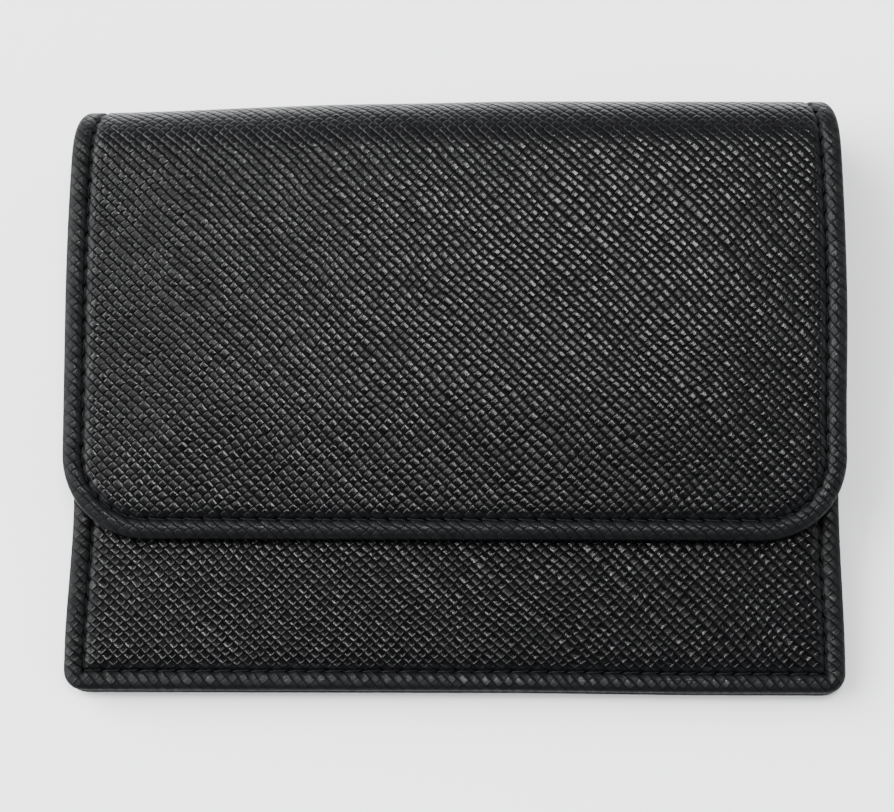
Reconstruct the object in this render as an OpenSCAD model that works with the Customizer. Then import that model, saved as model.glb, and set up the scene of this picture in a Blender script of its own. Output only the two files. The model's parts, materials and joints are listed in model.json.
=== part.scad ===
// Flap-over card holder in cross-hatched leather, closed and lying on its back.
// +X runs across the width, +Y from the bottom seam to the spine and +Z out of the front.
// The origin is the middle of the footprint, on the surface that the holder lies on.
// Each leather piece that folds is split at its folds, because every node here is rigid.

/* [Outline] */
// Width across the flap
flap_w = 110; // [106:0.5:114]
// Height from the bottom edge to the outside of the spine
case_h = 84.8; // [82:0.2:88]
// Width across the spine and the top of the back, where the fold draws the sides in
spine_w = 107; // [105:0.5:110]
// Width across the bottom seam
body_w = 109.8; // [107:0.2:110]
// Height of the front panel, from the bottom edge to the pocket mouth
front_h = 67; // [64:0.5:68]
// Width across the pocket mouth
mouth_w = 104.8; // [104.4:0.2:108]
// Distance from the bottom edge up to the tip of the closed flap
flap_gap = 20.8; // [18:0.2:25]
// Radius of the two corners at the flap's tip
flap_corner_r = 12; // [8:0.5:16]
// Radius of the two corners at the bottom seam
body_corner_r = 3.3; // [2:0.1:3.4]

/* [Leather] */
// Cross-hatched cover leather
cover_t = 0.9; // [0.8:0.05:1.1]
// Stiffening board
board_t = 0.4; // [0.3:0.05:0.5]
// Turned edge, pared thin, folded round the board
turn_t = 0.3; // [0.25:0.05:0.4]
// Lining leather
lining_t = 0.4; // [0.3:0.05:0.5]
// Gusset leather
gusset_t = 0.4; // [0.3:0.05:0.4]
// Width of the turned edge on the inside
turn_w = 8; // [6:0.5:10]

/* [Seams] */
// Distance from an edge to its row of stitches
seam_inset = 2.8; // [2.6:0.1:3]
// Length of one stitch, from hole to hole
stitch_pitch = 2.6; // [2.4:0.1:3]
// Radius of the thread
thread_r = 0.2; // [0.15:0.01:0.2]
// Width of the channel that a row of stitches is drawn into
channel_w = 0.7; // [0.6:0.05:0.8]
// Depth of that channel
channel_d = 0.45; // [0.42:0.01:0.5]

/* [Pocket] */
// Angle between the back and the front panel with the flap snapped shut
rest_angle = 6; // [5.5:0.25:6.5]
// Angle that each gusset leaf subtends at the bottom corner
leaf_angle = 8; // [8:0.25:8.5]
// Gap between the front panel and the lining of the closed flap
snap_gap = 1.2; // [1.2:0.05:1.5]

/* [Card slots] */
// Width of the two card slots on the back wall
slot_w = 90; // [89.4:0.2:90.4]
// Leather of a card slot
slot_t = 0.5; // [0.4:0.05:0.5]
// Room behind a card slot for its card
card_gap = 0.3; // [0.2:0.05:0.3]
// Height of the rear slot's mouth above the bottom edge
rear_slot_h = 72; // [69.5:0.5:73]
// Height of the front slot's mouth above the bottom edge
front_slot_h = 68.5; // [66:0.5:69]

/* [Snap] */
// Radius of the snap's flanges
snap_r = 5.5; // [5:0.1:6]
// Distance from the flap's tip to the middle of the snap
snap_from_tip = 14; // [12:0.5:18]

/* [Hidden] */
$fn = 64;

leather_black = "#17181a";
lining_black = "#202022";
gusset_black = "#1c1c1e";
board_grey = "#6b6258";
filler_grey = "#8b8b88";
thread_black = "#0d0d0e";
snap_metal = "#b9b7b0";

corner_steps = 12;
lining_inset = 1;                              // the lining stops short of the turned edge
shim = 0.01;                                   // lets a cutter pass its face
big = 400;                                     // larger than the holder
panel_t = cover_t + board_t + turn_t + lining_t;
shell_t = panel_t - lining_t;                  // cover, board and turned edge
bottom_y = -case_h / 2;
top_y = case_h / 2;
hem_h = 3.5;                                   // sewn margin below the fold of the front panel
fold_y = bottom_y + hem_h;                     // the line that the front panel turns about
fold_z = panel_t + gusset_t / 2;
front_inner = gusset_t / 2;                    // inner face of the front panel above its fold plane
front_outer = front_inner + panel_t;
flap_outer = front_outer + snap_gap + panel_t;
mouth_s = front_h - hem_h;                     // pocket mouth, measured from the fold
front_start = 0.65;                            // room for the front panel to turn beside the hem

// The spine is one arc, tangent to the back at the bottom and to the flap at the top.
spine_r = (fold_z + (top_y - fold_y) * tan(rest_angle) + flap_outer / cos(rest_angle))
  / (1 + 1 / cos(rest_angle) + tan(rest_angle));
spine_y = top_y - spine_r;
fold_angle = (180 + rest_angle) / 4;           // each of the four folds that open the flap
split_gap = 0.5;                               // half the gap at a split, in degrees

arc_end_y = spine_y - spine_r * sin(rest_angle);
arc_end_z = spine_r * (1 + cos(rest_angle));
flap_len = (arc_end_y - (bottom_y + flap_gap)) / cos(rest_angle);
// The flap's own frame starts at the end of the arc; this is where that lies in the front panel's frame.
flap_in_front = (arc_end_y - fold_y) * cos(rest_angle) + (arc_end_z - fold_z) * sin(rest_angle);
snap_y = -flap_len + snap_from_tip;

post_r = 1.3;                                  // stem of the rivet that the stud is closed over
stud_r = 2.3;
stud_h = 1.6;
stud_waist = 0.35;                             // how far the stud narrows below its head
stud_play = 0.15;
barrel_r = 3.7;
flange_t = 0.45;                               // flanges of the stud and the socket

// Gusset: a folded triangle whose crease stands rest_crease inward of the seam at rest.
gusset_x = mouth_w / 2 - seam_inset + 0.4;     // where a leaf leaves its tab
cos_crease = cos(leaf_angle) / cos(rest_angle / 2);
leaf_tilt = atan2(cos_crease * sin(rest_angle / 2), sqrt(1 - cos_crease * cos_crease));
leaf_start = 12;                               // the gusset is pressed flat below this
leaf_end = mouth_s - 1.5;
crease_gap = 0.9;                              // the leaves stop short of their shared crease
tab_start = 4.5;
tab_gap = 0.3;
tab_edge = 0.6;

slot_pitch = card_gap + slot_t;                // from one card slot to the next
slot_margin = 1.6;                             // glued margin along a slot's sides and bottom
slot_clear = 0.25;                             // between a card slot and the front panel
seam_start = 7;                                // from a slot's bottom up to its side seams

// Half width of a tapering panel at height y, drawn in by inset.
function side_x(bottom_w, top_w, y0, y1, y, inset) =
  bottom_w / 2 + (top_w - bottom_w) / 2 * (y - y0) / (y1 - y0) - inset;

// How low a card slot with its face at z may start: the front panel clears it from there up.
function slot_bottom(z) =
  fold_y + (z + slot_clear - fold_z - front_inner / cos(rest_angle)) / tan(rest_angle);

// Points along an arc, ends included.
function arc(centre, r, from, to, steps) = [
  for (k = [0 : steps])
    let (angle = from + (to - from) * k / steps)
      centre + r * [cos(angle), sin(angle)]
];

// Outline with straight tapering sides and two rounded corners at the bottom, drawn in by inset.
// The top edge is drawn in by top_inset.
module panel_2d(bottom_w, top_w, y0, y1, corner_r, inset = 0, top_inset = 0) {
  r = max(corner_r - inset, 0.2);
  low = y0 + inset;
  high = y1 - top_inset;
  lean = atan((bottom_w - top_w) / 2 / (y1 - y0));
  centre_x = side_x(bottom_w, top_w, y0, y1, low + r, inset) - r / cos(lean);
  top_x = side_x(bottom_w, top_w, y0, y1, high, inset);
  polygon(concat(
    arc([centre_x, low + r], r, -90, lean, corner_steps),
    [[top_x, high], [-top_x, high]],
    arc([-centre_x, low + r], r, 180 - lean, 270, corner_steps)
  ));
}

module slab(z0, z1) {
  translate([0, 0, z0]) linear_extrude(z1 - z0) children();
}

// The outlines of the three panels, each in its own flat frame.
module back_2d(inset = 0, top_inset = 0) {
  panel_2d(body_w, spine_w, bottom_y, spine_y, body_corner_r, inset, top_inset);
}

module front_2d(inset = 0, top_inset = 0) {
  panel_2d(body_w, mouth_w, -hem_h, mouth_s, body_corner_r, inset, top_inset);
}

module flap_2d(inset = 0, top_inset = 0) {
  panel_2d(flap_w, flap_w, -flap_len, 0, flap_corner_r, inset, top_inset);
}

// Frames. Each panel is drawn with its outer face at z = 0 and its layers below.
module in_back() {
  mirror([0, 0, 1]) children();
}

module in_front() {
  translate([0, fold_y, fold_z]) rotate([rest_angle, 0, 0]) children();
}

module on_front() {
  in_front() translate([0, 0, front_outer]) children();
}

module in_flap() {
  translate([0, arc_end_y, arc_end_z]) rotate([rest_angle, 0, 0]) children();
}

// A shell between two angles about the X axis, at a depth below the spine's outer face.
module shell_arc(depth, thick, from, to, w) {
  steps = ceil((to - from) / 4);
  rotate([90, 0, 90]) linear_extrude(w, center = true) polygon(concat(
    arc([0, 0], spine_r - depth, from, to, steps),
    arc([0, 0], spine_r - depth - thick, to, from, steps)
  ));
}

// One third of the spine, from the lowest (0) to the highest (2). A fold lies at each of its ends.
module spine_arc(third, depth, thick, w) {
  from = -90 + (third + 0.5) * fold_angle;
  translate([0, spine_y, spine_r])
    shell_arc(depth, thick, from + split_gap, from + fold_angle - split_gap, w);
}

// The half fold that belongs to a panel, in the panel's own frame, up to the split.
module fold_arc(depth, thick, w) {
  translate([0, 0, -spine_r]) shell_arc(depth, thick, 90 - fold_angle / 2 + split_gap, 90, w);
}

// Row of stitches from one point to another, sunk below the outer face.
module stitch(length) {
  translate([0, 0, -channel_d + thread_r + 0.02]) rotate([0, 90, 0])
    cylinder(h = length, r = thread_r, center = true, $fn = 16);
}

module stitch_line(from, to) {
  run = to - from;
  count = max(1, round(norm(run) / stitch_pitch));
  step = run / count;
  for (k = [0 : count - 1]) translate([from.x, from.y, 0] + [step.x, step.y, 0] * (k + 0.5))
    rotate([0, 0, atan2(run.y, run.x)]) stitch(norm(step) * 0.8);
}

module stitch_corner(centre, r, from, to) {
  count = max(1, round(r * PI * abs(to - from) / 180 / stitch_pitch));
  step = (to - from) / count;
  for (k = [0 : count - 1]) translate([centre.x, centre.y, 0]) rotate([0, 0, from + step * (k + 0.5)])
    translate([r, 0, 0]) rotate([0, 0, 90]) stitch(2 * r * sin(abs(step) / 2) * 0.8);
}

// The U of stitches round a panel: down one side, round the corners, along the bottom and up.
module stitch_u(bottom_w, top_w, y0, y1, corner_r, from_y, to_y) {
  r = corner_r - seam_inset;
  corner_y = y0 + corner_r;
  low_x = side_x(bottom_w, top_w, y0, y1, corner_y, seam_inset);
  start_x = side_x(bottom_w, top_w, y0, y1, max(from_y, corner_y), seam_inset);
  end_x = side_x(bottom_w, top_w, y0, y1, to_y, seam_inset);
  for (side = [-1, 1]) {
    stitch_line([side * start_x, max(from_y, corner_y)], [side * end_x, to_y]);
    if (from_y < corner_y && r > 3)
      stitch_corner([side * (low_x - r), corner_y], r, side > 0 ? -90 : 180, side > 0 ? 0 : 270);
  }
  bottom_x = low_x - max(r, 0.6);
  if (from_y < corner_y) stitch_line([-bottom_x, y0 + seam_inset], [bottom_x, y0 + seam_inset]);
}

// A cover with its edge turned round the board. The board's slot and the filler's recess are cut out.
module turned_cover() {
  difference() {
    slab(-shell_t, 0) children(0);
    slab(-cover_t - board_t, -cover_t) children(1);
    slab(-shell_t - shim, -cover_t - board_t + shim) children(2);
  }
}

// Channel for a row of stitches, between two outlines.
module channel() {
  slab(-channel_d, shim) difference() {
    children(0);
    children(1);
  }
}

module back_cover() {
  color(leather_black) in_back() union() {
    difference() {
      turned_cover() {
        back_2d();
        back_2d(cover_t, cover_t);
        back_2d(turn_w, -shim);
      }
      channel() {
        back_2d(seam_inset - channel_w / 2, -1);
        back_2d(seam_inset + channel_w / 2, -2);
      }
    }
    translate([0, spine_y, 0]) fold_arc(0, cover_t, spine_w);
  }
}

module back_board() {
  color(board_grey) in_back() slab(-cover_t - board_t, -cover_t) back_2d(cover_t, cover_t);
}

module back_filler() {
  color(filler_grey) in_back() slab(-shell_t, -cover_t - board_t) back_2d(turn_w, cover_t);
}

module back_lining() {
  color(lining_black) in_back() union() {
    slab(-panel_t, -shell_t) back_2d(lining_inset);
    translate([0, spine_y, 0]) fold_arc(shell_t, lining_t, spine_w - 2 * lining_inset);
  }
}

// Outline of a card slot that lies at the height z0, drawn in by inset and open at its mouth.
module card_slot_2d(z0, mouth_h, inset = 0) {
  low = slot_bottom(z0 + slot_pitch) + inset;
  translate([-slot_w / 2 + inset, low]) square([slot_w - 2 * inset, bottom_y + mouth_h - low]);
}

// Glued margin of a card slot, along its sides and bottom. It leaves the room for the card.
module card_slot_margin(z0, mouth_h) {
  slab(z0, z0 + card_gap) difference() {
    card_slot_2d(z0, mouth_h);
    card_slot_2d(z0, big, slot_margin);
  }
}

module card_slot(z0, mouth_h) {
  slab(z0 + card_gap, z0 + slot_pitch) card_slot_2d(z0, mouth_h);
}

module card_slot_rear() {
  color(lining_black) card_slot(panel_t, rear_slot_h);
}

module card_slot_rear_margin() {
  color(lining_black) card_slot_margin(panel_t, rear_slot_h);
}

module card_slot_front() {
  color(lining_black) card_slot(panel_t + slot_pitch, front_slot_h);
}

module card_slot_front_margin() {
  color(lining_black) card_slot_margin(panel_t + slot_pitch, front_slot_h);
}

// The slots' own side seams, which lie on the front slot.
module card_slot_stitching() {
  seam_x = slot_w / 2 - slot_margin / 2;
  seam_low = slot_bottom(panel_t + 2 * slot_pitch) + seam_start;
  color(thread_black) translate([0, 0, panel_t + 2 * slot_pitch + channel_d])
    for (side = [-1, 1])
      stitch_line([side * seam_x, seam_low], [side * seam_x, bottom_y + front_slot_h - 1]);
}

module back_stitching() {
  color(thread_black) in_back()
    stitch_u(body_w, spine_w, bottom_y, spine_y, body_corner_r, bottom_y, spine_y - 1);
}

// The sewn margin of the front panel, which stays on the back when the pocket opens.
module front_hem() {
  color(leather_black) difference() {
    slab(panel_t, fold_z + front_outer) intersection() {
      translate([0, fold_y]) front_2d();
      translate([-big / 2, fold_y - big]) square(big);
    }
    translate([0, fold_y, fold_z + front_outer]) channel() {
      front_2d(seam_inset - channel_w / 2);
      front_2d(seam_inset + channel_w / 2, -1);
    }
  }
}

module hem_stitching() {
  end_x = body_w / 2 - seam_inset - 0.6;
  color(thread_black) translate([0, 0, fold_z + front_outer])
    stitch_line([-end_x, bottom_y + seam_inset], [end_x, bottom_y + seam_inset]);
}

// Margin of a gusset, sewn flat to its panel. It is drawn in the frame of that panel's fold plane.
module gusset_tab() {
  slab(-gusset_t / 2, gusset_t / 2) polygon([
    [gusset_x + tab_gap, tab_start],
    [side_x(body_w, mouth_w, -hem_h, mouth_s, tab_start, tab_edge), tab_start],
    [side_x(body_w, mouth_w, -hem_h, mouth_s, leaf_end, tab_edge), leaf_end],
    [gusset_x + tab_gap, leaf_end]
  ]);
}

// One half of a folded gusset, from the tab to just short of the crease.
module gusset_leaf(tilt) {
  translate([gusset_x, 0, 0]) rotate([0, tilt, 0]) slab(-gusset_t / 2, gusset_t / 2) polygon([
    [0, leaf_start],
    [0, leaf_end],
    [-(leaf_end * tan(leaf_angle) - crease_gap), leaf_end],
    [-(leaf_start * tan(leaf_angle) - crease_gap), leaf_start]
  ]);
}

module on_side(side) {
  scale_x = side == "left" ? 1 : 0;
  mirror([scale_x, 0, 0]) children();
}

module gusset_back_tab(side) {
  color(gusset_black) translate([0, fold_y, fold_z]) on_side(side) gusset_tab();
}

module gusset_front_tab(side) {
  color(gusset_black) in_front() on_side(side) gusset_tab();
}

module gusset_back_leaf(side) {
  color(gusset_black) translate([0, fold_y, fold_z]) on_side(side) gusset_leaf(leaf_tilt);
}

module gusset_front_leaf(side) {
  color(gusset_black) in_front() on_side(side) gusset_leaf(-leaf_tilt);
}

// Everything of the front panel above the hem.
module above_hem() {
  intersection() {
    children();
    slab(-big / 2, big / 2) translate([-big / 2, front_start]) square(big);
  }
}

module snap_hole(r, z0, z1) {
  translate([0, snap_y, z0 - shim]) cylinder(h = z1 - z0 + 2 * shim, r = r);
}

module at_front_snap() {
  on_front() translate([0, flap_in_front, 0]) children();
}

module front_cover() {
  color(leather_black) on_front() difference() {
    above_hem() difference() {
      turned_cover() {
        front_2d();
        front_2d(cover_t, cover_t);
        front_2d(turn_w, turn_w);
      }
      channel() {
        front_2d(seam_inset - channel_w / 2, -1);
        front_2d(seam_inset + channel_w / 2, -2);
      }
    }
    translate([0, flap_in_front, 0]) snap_hole(post_r + 0.1, -cover_t, 0);
  }
}

module front_board() {
  color(board_grey) on_front() difference() {
    above_hem() slab(-cover_t - board_t, -cover_t) front_2d(cover_t, cover_t);
    translate([0, flap_in_front, 0]) snap_hole(snap_r - 0.8, -cover_t - board_t, -cover_t);
  }
}

module front_filler() {
  color(filler_grey) on_front() above_hem() slab(-shell_t, -cover_t - board_t) front_2d(turn_w, turn_w);
}

module front_lining() {
  color(lining_black) on_front() above_hem()
    slab(-panel_t, -shell_t) front_2d(lining_inset, lining_inset);
}

module front_stitching() {
  color(thread_black) on_front()
    stitch_u(body_w, mouth_w, -hem_h, mouth_s, body_corner_r, 1.2, mouth_s - 1);
}

// Male half of the snap, on the front panel.
module snap_stud() {
  rim_r = snap_r - 0.3;
  edge = flange_t / 2;                         // chamfer of the flange and of the head
  waist_r = stud_r - stud_waist;
  color(snap_metal) at_front_snap() translate([0, snap_y, 0]) difference() {
    rotate_extrude() polygon([
      [0, 0], [rim_r, 0], [rim_r, edge], [rim_r - edge, flange_t], [stud_r, flange_t],
      [waist_r, flange_t + 0.2], [waist_r, stud_h - 0.7], [stud_r, stud_h - 0.45],
      [stud_r, stud_h - edge], [stud_r - edge, stud_h], [0, stud_h]
    ]);
    translate([0, 0, -shim]) cylinder(h = 1.1 + shim, r = post_r + 0.05);
  }
}

// Rivet that holds the stud from inside the panel.
module snap_post() {
  color(snap_metal) at_front_snap() translate([0, snap_y, 0]) union() {
    translate([0, 0, -cover_t - board_t + 0.03]) cylinder(h = board_t - 0.05, r = snap_r - 1);
    translate([0, 0, -cover_t - 0.1]) cylinder(h = cover_t + 1.1, r = post_r);
  }
}

module spine_cover(third) {
  color(leather_black) spine_arc(third, 0, cover_t, spine_w);
}

module spine_strip(third) {
  color(board_grey) spine_arc(third, cover_t, board_t + turn_t, spine_w - 2 * cover_t);
}

module spine_lining(third) {
  color(lining_black) spine_arc(third, shell_t, lining_t, spine_w - 2 * lining_inset);
}

module flap_cover() {
  color(leather_black) in_flap() union() {
    difference() {
      turned_cover() {
        flap_2d();
        flap_2d(cover_t, cover_t);
        flap_2d(turn_w, -shim);
      }
      channel() {
        flap_2d(seam_inset - channel_w / 2, -1);
        flap_2d(seam_inset + channel_w / 2, -2);
      }
    }
    fold_arc(0, cover_t, flap_w);
  }
}

module flap_board() {
  color(board_grey) in_flap() difference() {
    slab(-cover_t - board_t, -cover_t) flap_2d(cover_t, cover_t);
    snap_hole(snap_r + 0.2, -cover_t - board_t, -cover_t);
  }
}

module flap_filler() {
  color(filler_grey) in_flap() difference() {
    slab(-shell_t, -cover_t - board_t) flap_2d(turn_w, cover_t);
    snap_hole(barrel_r + 0.1, -shell_t, -cover_t - board_t);
  }
}

module flap_lining() {
  color(lining_black) in_flap() union() {
    difference() {
      slab(-panel_t, -shell_t) flap_2d(lining_inset);
      snap_hole(barrel_r + 0.1, -panel_t, -shell_t);
    }
    fold_arc(shell_t, lining_t, flap_w - 2 * lining_inset);
  }
}

module flap_stitching() {
  color(thread_black) in_flap()
    stitch_u(flap_w, flap_w, -flap_len, 0, flap_corner_r, -flap_len, -1);
}

// Female half of the snap: a flange on the lining and a barrel that reaches the cap.
module snap_socket() {
  barrel_h = panel_t - cover_t - board_t;
  color(snap_metal) in_flap() translate([0, snap_y, -panel_t]) difference() {
    union() {
      translate([0, 0, -flange_t]) cylinder(h = flange_t, r = snap_r);
      translate([0, 0, -0.1]) cylinder(h = barrel_h + 0.1, r = barrel_r);
    }
    translate([0, 0, -flange_t - shim])
      cylinder(h = flange_t + barrel_h - 0.15 + shim, r = stud_r + stud_play);
  }
}

// Plate that the socket is closed against, under the cover.
module snap_cap() {
  color(snap_metal) in_flap() translate([0, snap_y, -cover_t - board_t])
    cylinder(h = board_t - 0.02, r = snap_r);
}

back_cover();
back_board();
back_filler();
back_lining();
card_slot_rear();
card_slot_rear_margin();
card_slot_front();
card_slot_front_margin();
card_slot_stitching();
back_stitching();
front_hem();
hem_stitching();
gusset_back_tab("left");  // gusset_left_back_tab
gusset_back_tab("right");  // gusset_right_back_tab
gusset_back_leaf("left");  // gusset_left_back_leaf
gusset_back_leaf("right");  // gusset_right_back_leaf
gusset_front_leaf("left");  // gusset_left_front_leaf
gusset_front_leaf("right");  // gusset_right_front_leaf
front_cover();
front_board();
front_filler();
front_lining();
front_stitching();
gusset_front_tab("left");  // gusset_left_front_tab
gusset_front_tab("right");  // gusset_right_front_tab
snap_stud();
snap_post();
spine_cover(0);  // spine_lower_cover
spine_strip(0);  // spine_lower_strip
spine_lining(0);  // spine_lower_lining
spine_cover(1);  // spine_middle_cover
spine_strip(1);  // spine_middle_strip
spine_lining(1);  // spine_middle_lining
spine_cover(2);  // spine_upper_cover
spine_strip(2);  // spine_upper_strip
spine_lining(2);  // spine_upper_lining
flap_cover();
flap_board();
flap_filler();
flap_lining();
flap_stitching();
snap_socket();
snap_cap();
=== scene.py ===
"""Flap-over card holder in cross-hatched leather, built round its rigid frame.

The cover leather is one long sheet that runs from the bottom seam of the back, round the spine, to the
tip of the flap. It is drawn flat, in millimetres, as (across, along, depth), then bent round the spine.
"""

import json
from math import atan2, ceil, cos, exp, pi, radians, sin, sqrt, tan

import bmesh
import bpy
from mathutils import Matrix, Vector, noise


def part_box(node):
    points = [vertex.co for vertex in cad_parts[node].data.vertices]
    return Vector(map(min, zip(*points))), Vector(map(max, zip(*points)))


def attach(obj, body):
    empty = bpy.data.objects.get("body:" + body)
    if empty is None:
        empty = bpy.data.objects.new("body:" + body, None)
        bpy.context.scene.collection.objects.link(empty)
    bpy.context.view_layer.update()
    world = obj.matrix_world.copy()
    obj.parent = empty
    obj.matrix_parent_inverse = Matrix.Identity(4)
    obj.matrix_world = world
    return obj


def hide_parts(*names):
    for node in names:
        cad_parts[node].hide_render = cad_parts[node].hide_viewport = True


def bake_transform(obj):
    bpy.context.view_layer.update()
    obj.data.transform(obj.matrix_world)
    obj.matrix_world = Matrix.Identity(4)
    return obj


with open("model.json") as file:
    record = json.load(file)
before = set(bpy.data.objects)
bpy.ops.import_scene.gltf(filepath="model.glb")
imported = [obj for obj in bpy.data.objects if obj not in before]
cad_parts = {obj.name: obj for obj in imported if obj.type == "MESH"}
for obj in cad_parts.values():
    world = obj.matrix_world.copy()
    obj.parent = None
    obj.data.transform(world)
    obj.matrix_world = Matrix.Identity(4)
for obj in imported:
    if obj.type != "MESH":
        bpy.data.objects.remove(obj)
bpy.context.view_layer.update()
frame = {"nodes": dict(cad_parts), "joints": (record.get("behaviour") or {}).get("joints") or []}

bl_info = {
    "name": "Card Holder",
    "version": (1, 0, 0),
    "blender": (4, 5, 0),
    "location": "View3D > Sidebar > Card Holder",
    "description": "Covers, linings, gussets, card slots, seams and snap of a flap-over card holder",
    "category": "Add Mesh",
}

MM = 0.001
JOINTS = {joint["name"]: joint for joint in frame["joints"]}


def in_mm(point):
    """A point of the frame, in millimetres."""
    return Vector(point) / MM


def smooth(low, high, value):
    """0 below low, 1 above high, and an S-curve between them."""
    t = min(1.0, max(0.0, (value - low) / (high - low)))
    return t * t * (3 - 2 * t)


# The holder's measures, in millimetres, taken from the frame.
back_low = in_mm(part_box("back_cover")[0])
spine_high = in_mm(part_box("spine_middle_cover")[1])
flap_low, flap_high = (in_mm(p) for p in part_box("flap_cover"))
hem_high = in_mm(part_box("front_hem")[1])
first_pivot = in_mm(JOINTS["spine_fold_lowest"]["pos_m"])
fold_pivot = in_mm(JOINTS["front_panel_fold"]["pos_m"])
crease_axis = JOINTS["gusset_left_front_fold"]["axis"]

BOTTOM_Y = back_low.y
TOP_Y = spine_high.y
REST_ANGLE = atan2(crease_axis[2], crease_axis[1])
FOLD_TURN = radians(JOINTS["flap_fold"]["range_deg"][1])
pivot_in = TOP_Y - first_pivot.y
SPINE_R = pivot_in + first_pivot.z + sqrt(2 * pivot_in * first_pivot.z)
SPINE_Y = TOP_Y - SPINE_R
BACK_LEN = SPINE_Y - BOTTOM_Y
ARC_LEN = SPINE_R * (pi + REST_ANGLE)
ARC_END = Vector((0, SPINE_Y - SPINE_R * sin(REST_ANGLE), SPINE_R * (1 + cos(REST_ANGLE))))
FLAP_LEN = (ARC_END.y - flap_low.y) / cos(REST_ANGLE)
WRAP_LEN = BACK_LEN + ARC_LEN + FLAP_LEN
BODY_HALF = hem_high.x
FLAP_HALF = flap_high.x
FRONT_OUTER = hem_high.z - fold_pivot.z
HEM = fold_pivot.y - BOTTOM_Y
GUSSET_X = in_mm(JOINTS["gusset_right_back_fold"]["pos_m"]).x
MOUTH_Z = in_mm(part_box("front_cover")[1]).z
MOUTH_HALF = in_mm(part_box("front_lining")[1]).x
FRONT_LEN = (MOUTH_Z - fold_pivot.z - FRONT_OUTER * cos(REST_ANGLE)) / sin(REST_ANGLE)


def to_linear(hex_colour):
    """An sRGB hex colour as linear red, green, blue."""
    parts = [int(hex_colour[k : k + 2], 16) / 255 for k in (1, 3, 5)]
    return tuple(c / 12.92 if c <= 0.04045 else ((c + 0.055) / 1.055) ** 2.4 for c in parts)


class CardHolderSizes(bpy.types.PropertyGroup):
    """Sizes of the leather work, in millimetres."""

    hatch_pitch: bpy.props.FloatProperty(
        name="Hatch pitch", description="Distance between two lines of the embossed hatch", default=1.1
    )
    hatch_depth: bpy.props.FloatProperty(
        name="Hatch depth", description="Depth of the embossed hatch", default=0.11
    )
    seam_inset: bpy.props.FloatProperty(
        name="Seam inset", description="Distance from an edge to its row of stitches", default=2.8
    )
    stitch_pitch: bpy.props.FloatProperty(
        name="Stitch pitch", description="Distance from one stitch hole to the next", default=2.6
    )
    thread_width: bpy.props.FloatProperty(
        name="Thread width", description="Width of one stitch", default=0.42
    )
    flap_corner: bpy.props.FloatProperty(
        name="Flap corner", description="Radius of the flap's two corners", default=12.0
    )
    body_corner: bpy.props.FloatProperty(
        name="Body corner", description="Radius of the corners at the bottom seam", default=2.9
    )
    crown: bpy.props.FloatProperty(
        name="Crown", description="How far the middle of the flap stands proud of its edges", default=0.45
    )


class CardHolderColours(bpy.types.PropertyGroup):
    """Colours of the finishes."""

    leather: bpy.props.FloatVectorProperty(
        name="Leather", description="Cover leather", subtype="COLOR", default=to_linear("#040405")
    )
    # Painted shade: a darker colour for the bottoms of the hatch's grooves, standing in for the shade that
    # falls in them.
    painted_groove_shade: bpy.props.FloatVectorProperty(
        name="Groove", description="Bottom of the hatch's grooves", subtype="COLOR",
        default=to_linear("#020202")
    )
    worn_leather: bpy.props.FloatVectorProperty(
        name="Worn leather", description="Cover leather along its edges", subtype="COLOR",
        default=to_linear("#0e0f10")
    )
    lining: bpy.props.FloatVectorProperty(
        name="Lining", description="Lining leather", subtype="COLOR", default=to_linear("#121213")
    )
    gusset: bpy.props.FloatVectorProperty(
        name="Gusset", description="Gusset leather", subtype="COLOR", default=to_linear("#101011")
    )
    thread: bpy.props.FloatVectorProperty(
        name="Thread", description="Sewing thread", subtype="COLOR", default=to_linear("#070708")
    )
    metal: bpy.props.FloatVectorProperty(
        name="Snap", description="Plating of the snap", subtype="COLOR", default=to_linear("#cfcdc6")
    )
    board: bpy.props.FloatVectorProperty(
        name="Board", description="Bonded leather board", subtype="COLOR", default=to_linear("#6b6258")
    )
    felt: bpy.props.FloatVectorProperty(
        name="Felt", description="Filler felt", subtype="COLOR", default=to_linear("#8b8b88")
    )
    floor: bpy.props.FloatVectorProperty(
        name="Floor", description="Studio floor", subtype="COLOR", default=to_linear("#f3f3f4")
    )


def sizes():
    return bpy.context.scene.card_holder_sizes


def colours():
    return bpy.context.scene.card_holder_colours


# ---------------------------------------------------------------- materials


def add_node(tree, kind, inputs=None, **settings):
    """Adds a node, sets its settings, and sets or links its inputs."""
    node = tree.nodes.new(kind)
    for name, value in settings.items():
        setattr(node, name, value)
    for key, value in (inputs or {}).items():
        if isinstance(value, bpy.types.NodeSocket):
            tree.links.new(value, node.inputs[key])
        else:
            node.inputs[key].default_value = value
    return node


def new_material(name):
    """A material with an empty tree, its shader and its output."""
    material = bpy.data.materials.new(name)
    material.use_nodes = True
    tree = material.node_tree
    tree.nodes.clear()
    shader = add_node(tree, "ShaderNodeBsdfPrincipled")
    add_node(tree, "ShaderNodeOutputMaterial", {"Surface": shader.outputs["BSDF"]})
    return material, tree, shader


def math(tree, operation, first, second=0.0):
    """The result of one arithmetic step."""
    node = add_node(tree, "ShaderNodeMath", {0: first, 1: second}, operation=operation)
    return node.outputs[0]


def mapped(tree, value, to_min, to_max, from_min=0.0, from_max=1.0):
    """A value carried from one range to another, and held at its ends."""
    ends = {"From Min": from_min, "From Max": from_max, "To Min": to_min, "To Max": to_max}
    return add_node(tree, "ShaderNodeMapRange", {"Value": value, **ends}).outputs[0]


def noise_at(tree, place, scale, detail=2.0, roughness=0.5, **settings):
    """A noise texture with that many cycles in each unit of place."""
    inputs = {"Vector": place, "Scale": scale, "Detail": detail, "Roughness": roughness}
    return add_node(tree, "ShaderNodeTexNoise", inputs, **settings)


def mixed(tree, factor, first, second):
    """A blend of two colours."""
    inputs = {"Factor": factor, "A": first, "B": second}
    return add_node(tree, "ShaderNodeMix", inputs, data_type="RGBA").outputs["Result"]


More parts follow.
